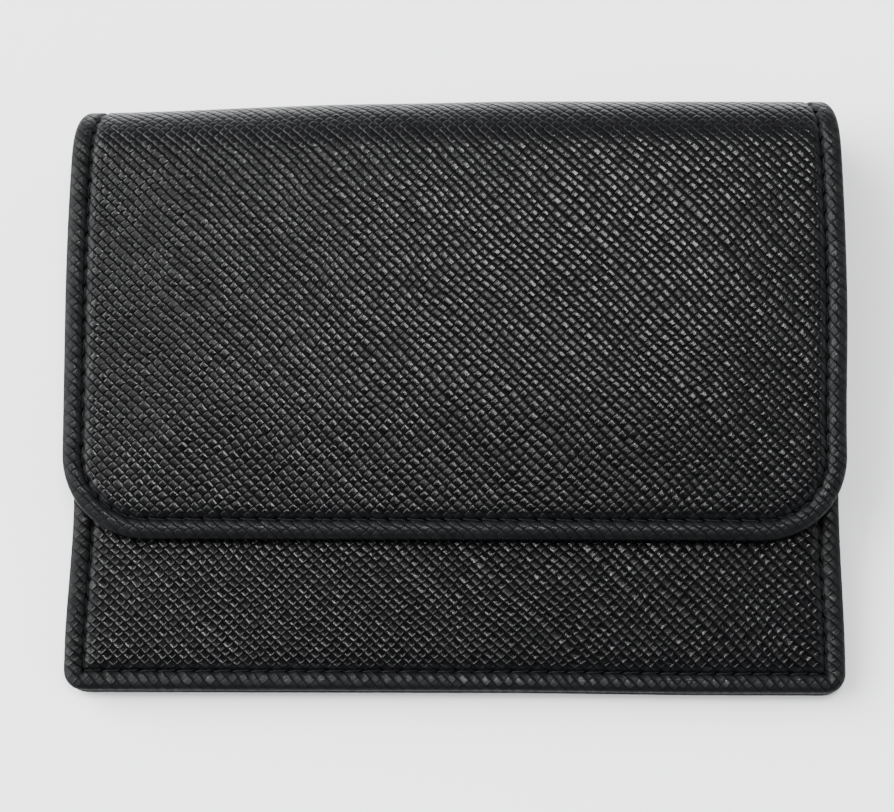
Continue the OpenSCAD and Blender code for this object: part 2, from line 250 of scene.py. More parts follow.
def shades(tree, factor, colour, dark, light):
    """A colour that varies between two multiples of itself."""
    first, second = ((*(min(1, c * share) for c in colour), 1) for share in (dark, light))
    return mixed(tree, factor, first, second)


def add_relief(tree, shader, height, strength, depth, **settings):
    """Gives the shader a relief of that depth, in millimetres."""
    inputs = {"Height": height, "Strength": strength, "Distance": depth * MM}
    bump = add_node(tree, "ShaderNodeBump", inputs, **settings)
    tree.links.new(bump.outputs[0], shader.inputs["Normal"])


def sheet_coordinates(tree):
    """The sheet's own flat coordinates, in millimetres, which follow it round every bend."""
    uv = add_node(tree, "ShaderNodeUVMap", uv_map="sheet")
    inputs = {0: uv.outputs[0], 1: (1 / MM, 1 / MM, 1 / MM)}
    return add_node(tree, "ShaderNodeVectorMath", inputs, operation="MULTIPLY").outputs[0]


def pillow(tree, value, power):
    """0 on every whole number and 1 halfway between: the higher the power, the narrower the groove."""
    away = math(tree, "MULTIPLY", math(tree, "PINGPONG", value, 0.5), 2.0)
    return math(tree, "SUBTRACT", 1.0, math(tree, "POWER", math(tree, "SUBTRACT", 1.0, away), power))


def swayed_by(tree, flat, scale, reach):
    """The flat coordinates, moved up to reach millimetres by a noise of scale cycles a millimetre."""
    wander = noise_at(tree, flat, scale, detail=1.0)
    middle = {0: wander.outputs["Color"], 1: (0.5, 0.5, 0.5)}
    centred = add_node(tree, "ShaderNodeVectorMath", middle, operation="SUBTRACT")
    inputs = {0: centred.outputs[0], 1: (2 * reach, 2 * reach, 0.0), 2: flat}
    return add_node(tree, "ShaderNodeVectorMath", inputs, operation="MULTIPLY_ADD").outputs[0]


# How the hatch wanders over the sheet, as (cycles a millimetre, reach in millimetres).
HATCH_SWAYS = ((0.016, 2.6), (0.09, 0.6), (0.5, 0.13))
# The rest of the hatch, in pitches: how its long grooves bunch, how far the short ones shift from strip
# to strip and along a strip, and how far a cell leans.
BUNCHING, STRIP_SHIFT, RUN_SHIFT, CELL_LEAN = 0.4, 0.22, 0.8, 0.5
LONG_GROOVE_POWER, SHORT_GROOVE_POWER = 2.8, 5.0


def embossed_cells(tree, flat):
    """The hatch: its height, its height with every cell leaning a little, and a random value for each cell.

    Two sets of diagonal grooves leave small raised cells with nearly flat tops. One set is deep and
    unbroken, the other is shallow and shifts from strip to strip.
    """
    pitch = sizes().hatch_pitch
    swayed = flat
    for scale, reach in HATCH_SWAYS:
        swayed = swayed_by(tree, swayed, scale, reach)
    inputs = {"Vector": swayed, "Angle": radians(45)}
    turned = add_node(tree, "ShaderNodeVectorRotate", inputs, rotation_type="Z_AXIS")
    axes = add_node(tree, "ShaderNodeSeparateXYZ", {0: turned.outputs[0]})
    inputs = {"W": axes.outputs[0], "Scale": 0.5}
    strips = add_node(tree, "ShaderNodeTexNoise", inputs, noise_dimensions="1D")
    bunched = math(tree, "MULTIPLY", math(tree, "SUBTRACT", strips.outputs["Fac"], 0.5), BUNCHING)
    long_grooves = math(tree, "ADD", math(tree, "DIVIDE", axes.outputs[0], pitch), bunched)
    strip_number = math(tree, "FLOOR", long_grooves)
    strip = add_node(tree, "ShaderNodeTexWhiteNoise", {"W": strip_number}, noise_dimensions="1D")
    offset = math(tree, "MULTIPLY", math(tree, "SUBTRACT", strip.outputs["Value"], 0.5), STRIP_SHIFT)
    run = add_node(tree, "ShaderNodeCombineXYZ", {0: strip_number, 1: axes.outputs[1]})
    spread = noise_at(tree, run.outputs[0], 0.7, noise_dimensions="2D")
    uneven = math(tree, "ADD", offset, math(tree, "MULTIPLY", spread.outputs["Fac"], RUN_SHIFT))
    short_grooves = math(tree, "ADD", math(tree, "DIVIDE", axes.outputs[1], pitch), uneven)
    numbers = {0: strip_number, 1: math(tree, "FLOOR", short_grooves)}
    place = add_node(tree, "ShaderNodeCombineXYZ", numbers).outputs[0]
    cell = add_node(tree, "ShaderNodeTexWhiteNoise", {"Vector": place}, noise_dimensions="2D")
    patches = noise_at(tree, flat, 0.35)
    short_depth = mapped(tree, patches.outputs["Fac"], 0.5, 0.85, 0.35, 0.65)
    away = math(tree, "SUBTRACT", 1.0, pillow(tree, short_grooves, SHORT_GROOVE_POWER))
    top = math(tree, "SUBTRACT", 1.0, math(tree, "MULTIPLY", away, short_depth))
    hatch = math(tree, "MULTIPLY", pillow(tree, long_grooves, LONG_GROOVE_POWER), top)
    lean = add_node(tree, "ShaderNodeSeparateColor", {0: cell.outputs["Color"]})
    leaning = 0.0
    for grooves, way in ((long_grooves, lean.outputs[0]), (short_grooves, lean.outputs[1])):
        across_cell = math(tree, "SUBTRACT", math(tree, "FRACT", grooves), 0.5)
        tilted = math(tree, "MULTIPLY", across_cell, math(tree, "SUBTRACT", way, 0.5))
        leaning = math(tree, "ADD", leaning, tilted)
    leaned = math(tree, "ADD", hatch, math(tree, "MULTIPLY", leaning, CELL_LEAN))
    return hatch, leaned, cell.outputs["Value"]


def embossed_leather():
    """Corrected-grain calf with a plate-embossed cross hatch and a satin pigment finish.

    The cells are finely grained and shiny, and the grooves are dull, with painted shade darkening their
    colour. Along the seams and edges the hatch is pressed and worn flat, and the creases are dull and
    darkened by grime and painted shade.
    """
    material, tree, shader = new_material("cross_hatch_embossed_calf")
    flat = sheet_coordinates(tree)
    hatch, leaned, cell = embossed_cells(tree, flat)
    wear = add_node(tree, "ShaderNodeAttribute", attribute_name="edge_wear").outputs["Fac"]
    # Darkening along the seam's crease: grime and painted shade.
    crease = add_node(tree, "ShaderNodeAttribute", attribute_name="crease").outputs["Fac"]
    pressed = math(tree, "MULTIPLY", leaned, mapped(tree, wear, 1.0, 0.25))
    grain = noise_at(tree, flat, 4.0, roughness=0.6)
    relief = math(tree, "ADD", pressed, math(tree, "MULTIPLY", grain.outputs["Fac"], 0.18))
    add_relief(tree, shader, relief, 1.0, sizes().hatch_depth)
    # Painted shade: the cell tops keep the leather colour, while the grooves and the seam's crease take the
    # darker groove colour; in the crease this is grime and painted shade together.
    raised = mapped(tree, hatch, 0.0, 1.0, 0.12, 0.6)
    filled = math(tree, "MAXIMUM", raised, math(tree, "MULTIPLY", wear, 0.8))
    shade = math(tree, "MULTIPLY", filled, math(tree, "SUBTRACT", 1.0, crease))
    tint = mixed(tree, shade, (*colours().painted_groove_shade, 1), (*colours().leather, 1))
    rubbed = math(tree, "MULTIPLY", math(tree, "MULTIPLY", wear, 0.6), shade)
    worn = mixed(tree, rubbed, tint, (*colours().worn_leather, 1))
    pits = noise_at(tree, flat, 5.0, detail=1.0)
    polish = math(tree, "ADD", math(tree, "MULTIPLY", cell, 0.4), pits.outputs["Fac"])
    dulled = math(tree, "SUBTRACT", 1.0, math(tree, "MULTIPLY", wear, 0.45))
    gloss = math(tree, "MULTIPLY", math(tree, "MULTIPLY", shade, polish), dulled)
    tree.links.new(worn, shader.inputs["Base Color"])
    rough = mapped(tree, math(tree, "SUBTRACT", gloss, wear), 0.5, 0.14)
    tree.links.new(rough, shader.inputs["Roughness"])
    tree.links.new(mapped(tree, gloss, 0.02, 0.21), shader.inputs["Specular IOR Level"])
    return material


def smooth_leather(name, colour, roughness):
    """Smooth aniline leather: an even colour, a fine pebble and a soft, low sheen."""
    material, tree, shader = new_material(name)
    flat = sheet_coordinates(tree)
    pebble = add_node(tree, "ShaderNodeTexVoronoi", {"Vector": flat, "Scale": 1.7, "Randomness": 1.0})
    add_relief(tree, shader, pebble.outputs["Distance"], 0.5, 0.05, invert=True)
    cloud = noise_at(tree, flat, 0.08, detail=4.0)
    tint = shades(tree, cloud.outputs["Fac"], colour, 0.8, 1.25)
    tree.links.new(tint, shader.inputs["Base Color"])
    shader.inputs["Roughness"].default_value = roughness
    shader.inputs["Specular IOR Level"].default_value = 0.25
    return material


def waxed_thread():
    """Waxed polyester twist: nearly black, with the ply just showing as fine slanted ribs."""
    material, tree, shader = new_material("waxed_polyester_thread")
    flat = sheet_coordinates(tree)
    ply = add_node(
        tree,
        "ShaderNodeTexWave",
        {"Vector": flat, "Scale": 0.9, "Distortion": 0.4},
        wave_type="BANDS",
        bands_direction="DIAGONAL",
    )
    add_relief(tree, shader, ply.outputs["Fac"], 0.6, 0.05)
    shader.inputs["Base Color"].default_value = (*colours().thread, 1)
    shader.inputs["Roughness"].default_value = 0.75
    shader.inputs["Specular IOR Level"].default_value = 0.2
    return material


def plated_metal():
    """Nickel-plated brass, tumbled: bright, with very fine wear in its gloss."""
    material, tree, shader = new_material("nickel_plated_brass")
    place = add_node(tree, "ShaderNodeTexCoord")
    haze = noise_at(tree, place.outputs["Object"], 900.0, detail=3.0)
    tree.links.new(mapped(tree, haze.outputs["Fac"], 0.16, 0.34), shader.inputs["Roughness"])
    shader.inputs["Base Color"].default_value = (*colours().metal, 1)
    shader.inputs["Metallic"].default_value = 1.0
    return material


def fibre(name, colour, scale, depth):
    """A dull pressed material, such as bonded leather board or felt, with its fibres showing."""
    material, tree, shader = new_material(name)
    place = add_node(tree, "ShaderNodeTexCoord")
    fibres = noise_at(tree, place.outputs["Object"], scale, detail=6.0).outputs["Fac"]
    add_relief(tree, shader, fibres, 0.6, depth)
    tree.links.new(shades(tree, fibres, colour, 0.7, 1.3), shader.inputs["Base Color"])
    shader.inputs["Roughness"].default_value = 0.9
    return material


def painted_floor():
    """Matte painted studio floor, pale and even."""
    material, _, shader = new_material("matte_pale_paint")
    shader.inputs["Base Color"].default_value = (*colours().floor, 1)
    shader.inputs["Roughness"].default_value = 0.85
    return material


MATERIAL_MAKERS = {
    "cover": embossed_leather,
    "lining": lambda: smooth_leather("smooth_lining_calf", colours().lining, 0.62),
    "gusset": lambda: smooth_leather("smooth_gusset_calf", colours().gusset, 0.55),
    "thread": waxed_thread,
    "metal": plated_metal,
    "board": lambda: fibre("bonded_leather_board", colours().board, 2500.0, 0.05),
    "felt": lambda: fibre("pressed_felt", colours().felt, 4000.0, 0.1),
    "floor": painted_floor,
}
made_materials = {}


def material_for(key):
    """The finish of that name, made the first time it is asked for."""
    if key not in made_materials:
        made_materials[key] = MATERIAL_MAKERS[key]()
    return made_materials[key]


# ---------------------------------------------------------------- sheets, drawn flat


TIGHTEST_CORNER = 0.25
# How far from a corner the vertices along a side are moved to meet it.
CORNER_EASE = 12
# Vertices closer than this to a cut across a panel are taken to lie on it.
CUT_SNAP = 0.01
# Distance between two cuts across a panel's middle.
COVER_STEP, LINING_STEP = 2.6, 8.0
# Edges that turn more than this are shaded sharp.
SHARP_ANGLE = radians(38)


class Sheet:
    """The flat outline of a panel: tapering sides from low to high, with a rounded corner at each end."""

    def __init__(self, half_at, low, high, low_corner, high_corner, breaks):
        self.half_at = half_at
        self.low = low
        self.high = high
        self.low_corner = low_corner
        self.high_corner = high_corner
        self.spacing = sizes().stitch_pitch / 4
        self.stations = self.side_stations(breaks)

    def side_stations(self, breaks):
        """Places along a side that have a vertex on every loop. Each (place, step) break is one of them."""
        places = [self.low + self.low_corner]
        for place, step in (*breaks, (self.high - self.high_corner, self.spacing)):
            count = max(1, round((place - places[-1]) / step))
            start = places[-1]
            places += [start + (place - start) * k / count for k in range(1, count + 1)]
        return places

    def corner(self, centre, radius, start, turn, count):
        angles = (start + turn * k / count for k in range(count + 1))
        return [Vector((centre[0] + radius * cos(a), centre[1] + radius * sin(a))) for a in angles]

    def loop(self, inset):
        """The outline drawn in by inset, as one closed loop that runs up the right side first."""
        low_r = max(self.low_corner - inset, TIGHTEST_CORNER)
        high_r = max(self.high_corner - inset, TIGHTEST_CORNER)
        first = self.low + inset + low_r
        last = self.high - inset - high_r
        up, down = [], []
        for place in self.stations:
            from_low, from_high = place - self.stations[0], self.stations[-1] - place
            shift_up = (first - self.stations[0]) * (1 - smooth(0, CORNER_EASE, from_low))
            shift_down = (last - self.stations[-1]) * (1 - smooth(0, CORNER_EASE, from_high))
            along = place + shift_up + shift_down
            up.append(Vector((self.half_at(along, 1) - inset, along)))
            down.append(Vector((-(self.half_at(along, -1) - inset), along)))
        low_count = max(6, round(self.low_corner * pi / 2 / self.spacing))
        high_count = max(6, round(self.high_corner * pi / 2 / self.spacing))
        right_high = self.corner((up[-1].x - high_r, last), high_r, 0, pi / 2, high_count)
        left_high = self.corner((down[-1].x + high_r, last), high_r, pi / 2, pi / 2, high_count)
        left_low = self.corner((down[0].x + low_r, first), low_r, pi, pi / 2, low_count)
        right_low = self.corner((up[0].x - low_r, first), low_r, 3 * pi / 2, pi / 2, low_count)
        over = self.edge(right_high[-1], left_high[0], self.high_corner)
        under = self.edge(left_low[-1], right_low[0], self.low_corner)
        return [
            *up, *right_high[1:], *over, *left_high,
            *reversed(down[:-1]), *left_low[1:], *under, *right_low[:-1],
        ]

    def edge(self, start, end, corner):
        """The points between two corners, ends left out. Their number doesn't depend on the inset."""
        half = self.half_at(self.low if corner == self.low_corner else self.high, 1)
        count = round(2 * (half - corner) / self.spacing)
        return [start.lerp(end, k / count) for k in range(1, count)]

    def inset_at(self, across, along):
        """The distance from a point to the nearest edge."""
        side = self.half_at(along, 1 if across > 0 else -1) - abs(across)
        nearest = min(side, along - self.low, self.high - along)
        for corner, end in ((self.low_corner, along - self.low), (self.high_corner, self.high - along)):
            if side < corner and end < corner:
                nearest = min(nearest, corner - sqrt((corner - side) ** 2 + (corner - end) ** 2))
        return nearest

    def holes(self):
        """The stitch holes, evenly spaced round the seam."""
        line = self.loop(sizes().seam_inset)
        line.append(line[0])
        lengths = [0.0]
        for a, b in zip(line, line[1:]):
            lengths.append(lengths[-1] + (b - a).length)
        count = round(lengths[-1] / sizes().stitch_pitch)
        holes, k = [], 0
        for n in range(count):
            target = lengths[-1] * n / count
            while lengths[k + 1] < target:
                k += 1
            holes.append(line[k].lerp(line[k + 1], (target - lengths[k]) / (lengths[k + 1] - lengths[k])))
        return holes


def ring(bm, points, depth):
    """One loop of vertices and edges at a depth."""
    verts = [bm.verts.new((p.x, p.y, depth)) for p in points]
    return verts, [bm.edges.new((a, b)) for a, b in zip(verts, verts[1:] + verts[:1])]


def flat_panel(sheet, profile, across_step):
    """A panel built from its edge inwards: one loop for each (inset, depth) of the profile, bridged in turn.

    The first and last loops are filled and cut, so that they can crown and bend.
    """
    bm = bmesh.new()
    rings = [ring(bm, sheet.loop(inset), depth) for inset, depth in profile]
    for (_, outer), (_, inner) in zip(rings, rings[1:]):
        bmesh.ops.bridge_loops(bm, edges=outer + inner)
    for verts, _ in (rings[-1], rings[0]):
        bmesh.ops.contextual_create(bm, geom=verts)
    rim = {f for f in bm.faces if len(f.verts) == 4}
    cuts = [((0, place, 0), (0, 1, 0)) for place in sheet.stations[1:-1]]
    columns = ceil(sheet.half_at(sheet.low, 1) / across_step)
    cuts += [((k * across_step, 0, 0), (1, 0, 0)) for k in range(-columns, columns)]
    for point, normal in cuts:
        faces = [f for f in bm.faces if f not in rim]
        geom = [*faces, *{e for f in faces for e in f.edges}, *{v for f in faces for v in f.verts}]
        bmesh.ops.bisect_plane(bm, geom=geom, dist=CUT_SNAP, plane_co=point, plane_no=normal)
    return bm


def draw_sheet_map(bm, up=1):
    """Stores the flat place of every corner, in metres, as the map that patterns follow."""
    layer = bm.loops.layers.uv.new("sheet")
    for face in bm.faces:
        for loop in face.loops:
            loop[layer].uv = (loop.vert.co.x * MM, up * loop.vert.co.y * MM)


def draw_edge_wear(bm, sheet):
    """Stores how far the hatch is worn flat: most on the rolled edge, and partly along the seam."""
    wear = bm.verts.layers.float.new("edge_wear")
    for vert in bm.verts:
        across, along, _ = vert.co
        edge = sheet.inset_at(across, along)
        patchy = 0.5 + 0.9 * noise.noise(Vector((across * 0.09, along * 0.09, 1.0)))
        from_seam = abs(edge - sizes().seam_inset)
        rolled = 1 - smooth(0.2, 2.4, edge)
        seam = 0.7 * (1 - smooth(0.3, 1.3, from_seam))
        vert[wear] = min(1.0, max(0.0, max(rolled, seam) * (0.55 + 0.6 * patchy)))


def cut_between(bm, low, high):
    """The part of a flat panel that lies between two places along it."""
    part = bm.copy()
    for place, normal in ((low, -1), (high, 1)):
        if place is not None:
            geom = [*part.verts, *part.edges, *part.faces]
            bmesh.ops.bisect_plane(
                part, geom=geom, dist=CUT_SNAP, plane_co=(0, place, 0), plane_no=(0, normal, 0),
                clear_outer=True,
            )
    bmesh.ops.holes_fill(part, edges=[e for e in part.edges if e.is_boundary])
    return part


def finish_piece(bm, name, material):
    """Turns a mesh drawn in millimetres into a piece in metres, at the origin."""
    bmesh.ops.recalc_face_normals(bm, faces=bm.faces)
    bmesh.ops.scale(bm, vec=(MM, MM, MM), verts=bm.verts)
    mesh = bpy.data.meshes.new(name)
    bm.to_mesh(mesh)
    bm.free()
    mesh.shade_smooth()
    mesh.set_sharp_from_angle(angle=SHARP_ANGLE)
    mesh.materials.append(material_for(material))
    piece = bpy.data.objects.new(name, mesh)
    bpy.context.scene.collection.objects.link(piece)
    return piece


# ---------------------------------------------------------------- the long sheet and its bend


def wrap_half(along, side):
    """Half the cover's width: the back narrows towards the fold, and the fold draws the sides in."""
    angle = (along - BACK_LEN) / SPINE_R
    if angle < pi / 2:
        wide = BODY_HALF + 0.05 - 0.95 * smooth(6, 28, along) - 0.15 * smooth(28, BACK_LEN, along)
        below_top = SPINE_R * (1 - sin(max(0.0, angle)))
    else:
        far = max(0.0, along - BACK_LEN - ARC_LEN)
        below_top = SPINE_R * (1 - sin(min(angle, pi + REST_ANGLE))) + far * cos(REST_ANGLE)
        bulge = 0.35 - 0.35 * smooth(30, 50, below_top) if side > 0 else 0.22
        wide = FLAP_HALF + bulge - 1.05 * max(0.0, 1 - below_top / 32) ** 2
    return wide - 1.3 * exp(-below_top / 1.6)


def settled(point):
    """Moves a bent point a little: the fold droops at its left end, and the bottom edge isn't quite level."""
    fold = 0.42 * smooth(-12, 12, point.x) - 1.5 * smooth(8, 56, -point.x)
    bottom = 0.25 * (1 - smooth(5, 38, point.x))
    point.y += fold * smooth(-5, TOP_Y, point.y) + bottom * (1 - smooth(0, 25, point.y - BOTTOM_Y))
    return point


def wrap(point):
    """Bends a point of the long sheet round the spine."""
    across, along, depth = point
    angle = (along - BACK_LEN) / SPINE_R
    if along <= BACK_LEN:
        bent = Vector((across, BOTTOM_Y + along, depth))
    elif along <= BACK_LEN + ARC_LEN:
        reach = SPINE_R - depth
        bent = Vector((across, SPINE_Y + reach * sin(angle), SPINE_R - reach * cos(angle)))
    else:
        far = along - BACK_LEN - ARC_LEN
        inward = Vector((0, sin(REST_ANGLE), -cos(REST_ANGLE)))
        bent = ARC_END + Vector((across, -far * cos(REST_ANGLE), -far * sin(REST_ANGLE))) + depth * inward
    return settled(bent)


def wrap_sheet():
    breaks = [(BACK_LEN, sizes().stitch_pitch / 4)]
    fine = SPINE_R * FOLD_TURN / 10
    breaks += [(BACK_LEN + SPINE_R * FOLD_TURN * k, fine) for k in (1, 2, 3, 4)]
    return Sheet(wrap_half, 0, WRAP_LEN, sizes().body_corner, sizes().flap_corner, breaks)


def zone_ends(k):
    """Where the k-th of the sheet's four zones starts and ends, or None where the sheet itself ends."""
    cuts = [None, *(BACK_LEN + SPINE_R * FOLD_TURN * n for n in (1, 2, 3)), None]
    return cuts[k], cuts[k + 1]


def blend_zone(piece):
    """Applies a zone's piece's placement to its mesh; the piece is not bent across its fold here."""
    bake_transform(piece)


# Cover leather in section: from the middle of its flesh side, out under the rolled edge, round the end of
# the turned edge, and back over the roll and the seam to the middle of the panel.
COVER_PROFILE = (
    (5.0, 0.26), (2.8, 0.70), (1.3, 0.30), (0.6, 0.50), (0.4, 0.80), (0.6, 1.12), (1.3, 1.24), (7.4, 1.26),
    (7.6, 1.42), (7.5, 1.58), (4.6, 1.60), (3.4, 1.58), (2.8, 1.50), (2.2, 1.58), (1.2, 1.60), (0.55, 1.54),
    (0.2, 1.34), (0.03, 1.06), (0.0, 0.78), (0.06, 0.48), (0.22, 0.22), (0.5, 0.02), (0.9, -0.10),
    (1.35, -0.16), (1.8, -0.15), (2.2, -0.08), (2.55, 0.08), (2.8, 0.36), (3.05, 0.12), (3.4, -0.02),
    (3.9, -0.10), (4.8, -0.14), (6.2, -0.16),
)
# Lining leather, from its hidden side round its pared edge.
LINING_PROFILE = (
    (1.5, 1.66), (1.1, 1.70), (1.0, 1.84), (1.08, 1.96), (1.35, 2.0), (2.2, 2.0), (2.55, 1.94), (2.8, 1.84),
    (3.05, 1.94), (3.4, 2.0), (5.0, 2.0),
)


def skin_at(edge):
    """A depth that lies inside the leather, between its two faces, at a distance from the edge."""
    return 0.53 if abs(edge - sizes().seam_inset) < 1 else 0.15 if edge > 1 else 0.0


def emboss_seam(bm, sheet, holes, crown, proud):
    """Draws the leather in at each stitch hole, stores the crease's darkening (grime and painted shade), and
    crowns the middle of the panel.

    proud(along) is 1 where the outer face may stand proud, and 0 where it lies on the floor.
    """
    inset = sizes().seam_inset
    crease = bm.verts.layers.float.new("crease")
    grid = {}
    for hole in holes:
        grid.setdefault((round(hole.x / 4), round(hole.y / 4)), []).append(hole)
    for vert in bm.verts:
        across, along, depth = vert.co
        edge = sheet.inset_at(across, along)
        if depth > skin_at(edge):
            continue
        if abs(edge - inset) < 1.4:
            cell = (round(across / 4), round(along / 4))
            near = [
                (hole - Vector((across, along))).length
                for i in (-1, 0, 1)
                for j in (-1, 0, 1)
                for hole in grid.get((cell[0] + i, cell[1] + j), ())
            ]
            if near:
                drawn_in = exp(-((min(near) / 0.5) ** 2))
                depth += 0.42 * drawn_in
                # The crease's darkening is partly grime and partly painted shade in the seam's groove.
                vert[crease] = (1 - smooth(0.05, 0.42, abs(edge - inset))) * (0.45 + 0.5 * drawn_in)
        if edge > 4:
            swell = crown * smooth(4, 20, edge)
            swell += 0.10 * smooth(4, 12, edge) * noise.noise(Vector((across * 0.045, along * 0.045, 5.0)))
            depth -= swell * proud(along)
        if depth < 0:
            depth *= proud(along)
        vert.co.z = depth


def flap_proud(along):
    """The flap and the upper half of the spine may stand proud of the frame. The back lies flat."""
    return smooth(BACK_LEN + ARC_LEN * 0.45, BACK_LEN + ARC_LEN + 8, along)


def bend_and_finish(bm, bend, name, material):
    for vert in bm.verts:
        vert.co = bend(vert.co)
    return finish_piece(bm, name, material)


COVER_ZONES = (
    ("back_cover_leather", ("back_cover",)),
    ("spine_cover_leather_low", ("spine_lower_cover",)),
    ("spine_cover_leather_high", ("spine_middle_cover",)),
    ("flap_cover_leather", ("spine_upper_cover", "flap_cover")),
)
LINING_ZONES = (
    ("back_lining_leather", ("back_lining",)),
    ("spine_lining_leather_low", ("spine_lower_lining", "spine_lower_strip")),
    ("spine_lining_leather_high", ("spine_middle_lining", "spine_middle_strip")),
    ("flap_lining_leather", ("spine_upper_lining", "spine_upper_strip", "flap_lining")),
)


THREAD_ZONES = (
    ("back_seam_thread", ("back_stitching",)),
    ("spine_seam_thread_low", ()),
    ("spine_seam_thread_high", ()),
    ("flap_seam_thread", ("flap_stitching",)),
)


def add_zone(part, k, zones, material):
    """Bends the k-th zone's part round the spine and makes it a piece."""
    name, nodes = zones[k]
    piece = bend_and_finish(part, wrap, name, material)
    blend_zone(piece)
    if nodes:
        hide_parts(*nodes)


class CARDHOLDER_OT_cover(bpy.types.Operator):
    """Make the cover leather of the back, the spine and the flap"""

    bl_idname = "cardholder.cover"
    bl_label = "Cover"

    def execute(self, context):
        sheet = wrap_sheet()
        whole = flat_panel(sheet, COVER_PROFILE, COVER_STEP)
        draw_sheet_map(whole)
        draw_edge_wear(whole, sheet)
        emboss_seam(whole, sheet, sheet.holes(), sizes().crown, flap_proud)
        for k in range(len(COVER_ZONES)):
            add_zone(cut_between(whole, *zone_ends(k)), k, COVER_ZONES, "cover")
        whole.free()
        return {"FINISHED"}


class CARDHOLDER_OT_lining(bpy.types.Operator):
    """Make the lining of the back, the spine and the flap"""

    bl_idname = "cardholder.lining"
    bl_label = "Lining"

    def execute(self, context):
        whole = flat_panel(wrap_sheet(), LINING_PROFILE, LINING_STEP)
        draw_sheet_map(whole)
        for k in range(len(LINING_ZONES)):
            part = cut_between(whole, *zone_ends(k))
            add_zone(part, k, LINING_ZONES, "lining")
        whole.free()
        return {"FINISHED"}


# ---------------------------------------------------------------- the front panel


def front_half(along, side):
    """Half the front panel's width at a distance from the bottom edge. The left side narrows more."""
    low, drop = (0.05, 0.62) if side > 0 else (0.20, 1.0)
    wide = BODY_HALF + low - drop * smooth(4, 27, along)
    return wide + (MOUTH_HALF - wide) * smooth(27, HEM + FRONT_LEN, along)


FOLD_REACH = 1.5
MOUTH_CORNER = 1.6


def bend_front(point):
    """Tilts a point of the front panel about its fold, just above the bottom seam."""
    across, along, depth = point
    from_fold = along - HEM
    tilt = REST_ANGLE * smooth(-FOLD_REACH, FOLD_REACH, from_fold)
    up = FRONT_OUTER - depth
    leaned = Vector((across, from_fold * cos(tilt) - up * sin(tilt), from_fold * sin(tilt) + up * cos(tilt)))
    return settled(fold_pivot + leaned)


def front_sheet():
    return Sheet(front_half, 0, HEM + FRONT_LEN, sizes().body_corner, MOUTH_CORNER, [(HEM, 0.65)])


def add_front(part, name, nodes, material):
    """Tilts a part of the front panel and makes it a piece, blended across the fold at its bottom."""
    piece = bend_and_finish(part, bend_front, name, material)
    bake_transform(piece)
    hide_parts(*nodes)


class CARDHOLDER_OT_front_panel(bpy.types.Operator):
    """Make the cover and the lining of the front panel"""

    bl_idname = "cardholder.front_panel"
    bl_label = "Front panel"

    def execute(self, context):
        sheet = front_sheet()
        cover = flat_panel(sheet, COVER_PROFILE, COVER_STEP)
        draw_sheet_map(cover, up=-1)
        draw_edge_wear(cover, sheet)
        emboss_seam(cover, sheet, sheet.holes(), 0.2, lambda along: 1.0)
        add_front(cover, "front_cover_leather", ("front_cover", "front_hem"), "cover")
        lining = flat_panel(sheet, LINING_PROFILE, LINING_STEP)
        draw_sheet_map(lining)
        add_front(lining, "front_lining_leather", ("front_lining",), "lining")
        return {"FINISHED"}


# ---------------------------------------------------------------- seams


STITCH_SLANT = 0.12
# A stitch's half length, as a share of the distance between its holes, and its half height.
STITCH_SHARE, STITCH_RISE = 0.49, 0.22
SEAM_DEPTH = 0.5


def stitch(bm, start, end, depth):
    """One stitch between two holes: a short, plump bar that dips into the leather at both ends."""
    run = end - start
    turn = Matrix.Rotation(atan2(run.y, run.x) + STITCH_SLANT, 4, "Z")
    place = Matrix.Translation((*((start + end) / 2), depth)) @ turn
    size = Matrix.Diagonal((run.length * STITCH_SHARE, sizes().thread_width / 2, STITCH_RISE, 1))
    matrix = place @ size @ Matrix.Rotation(pi / 2, 4, "Y")
    bmesh.ops.create_uvsphere(bm, u_segments=8, v_segments=6, radius=1, matrix=matrix)


def seam(holes, keep):
    """The stitches of a closed row of holes that keep(along) accepts."""
    bm = bmesh.new()
    for start, end in zip(holes, holes[1:] + holes[:1]):
        if keep((start.y + end.y) / 2):
            stitch(bm, start, end, SEAM_DEPTH)
    draw_sheet_map(bm)
    return bm


class CARDHOLDER_OT_seams(bpy.types.Operator):
    """Sew the seams of the cover and of the front panel"""

    bl_idname = "cardholder.seams"
    bl_label = "Seams"

    def execute(self, context):
        holes = wrap_sheet().holes()
        for k in range(len(THREAD_ZONES)):
            low, high = zone_ends(k)
            part = seam(holes, lambda y: (low is None or y > low) and (high is None or y <= high))
            add_zone(part, k, THREAD_ZONES, "thread")
        part = seam(front_sheet().holes(), lambda y: True)
        add_front(part, "front_seam_thread", ("front_stitching", "hem_stitching"), "thread")
        return {"FINISHED"}


# ---------------------------------------------------------------- inside


SLOT_CORNER, SLOT_STEP, SLOT_HEM = 0.8, 2.0, 3


